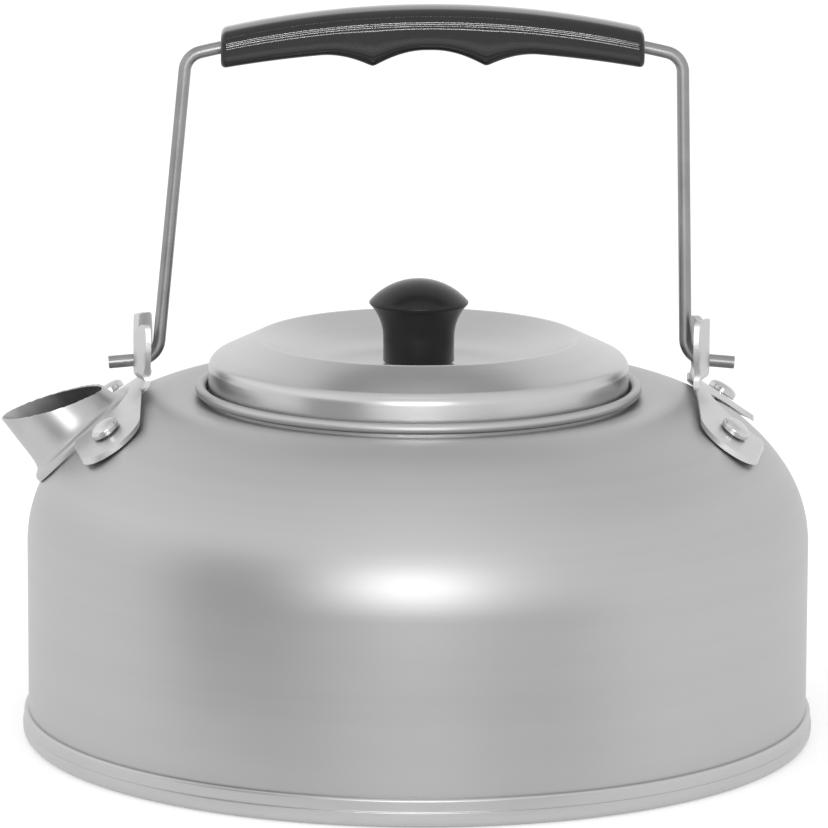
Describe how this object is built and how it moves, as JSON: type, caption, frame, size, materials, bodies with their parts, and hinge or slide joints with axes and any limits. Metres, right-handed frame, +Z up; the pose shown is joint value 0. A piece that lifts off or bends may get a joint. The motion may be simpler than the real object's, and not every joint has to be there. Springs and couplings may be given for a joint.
{
  "type": "camp kettle",
  "caption": "Low round camp kettle with a domed aluminium body, short slanted spout, dished lid with a knob, and a swinging wire bail with a moulded finger grip.",
  "frame": {"origin": "centre of the flat base, on the kettle's axis, on the surface that it stands on", "axes": "+Z up; the spout points to -X; +X runs along the bail's pivot line to the bracket that faces away from the spout; the front of the picture is -Y"},
  "size_m": [0.1555, 0.1518, 0.1409],
  "materials": {
    "shell_aluminium": "satin spun",
    "pan_aluminium": "satin",
    "lid_aluminium": "fine turned satin",
    "spout_aluminium": "polished",
    "bracket_aluminium": "bright pressed",
    "rivet_aluminium": "bright",
    "bail_steel": "drawn wire",
    "fastener_steel": "zinc plated",
    "insert_brass": "turned",
    "grip_plastic": "black gloss",
    "knob_plastic": "black"
  },
  "bodies": {
    "kettle": {"body_shell": "shell_aluminium", "base_pan": "pan_aluminium", "spout": "spout_aluminium", "left_bracket": "bracket_aluminium", "right_bracket": "bracket_aluminium", "left_front_rivet": "rivet_aluminium", "left_rear_rivet": "rivet_aluminium", "right_front_rivet": "rivet_aluminium", "right_rear_rivet": "rivet_aluminium"},
    "bail": {"bail_wire": "bail_steel", "bail_grip": "grip_plastic"},
    "lid": {"lid_shell": "lid_aluminium", "lid_knob": "knob_plastic", "knob_insert": "insert_brass", "knob_screw": "fastener_steel", "knob_washer": "fastener_steel"}
  },
  "joints": [
    {"name": "bail_swing", "type": "hinge", "parent": "kettle", "child": "bail", "pos_m": [0, 0, 0.07259], "axis": [1, 0, 0], "range_deg": [-92, 92]},
    {"name": "lid_lift", "type": "slide", "parent": "kettle", "child": "lid", "axis": [0, 0, 1], "range_m": [0, 0.036]}
  ]
}
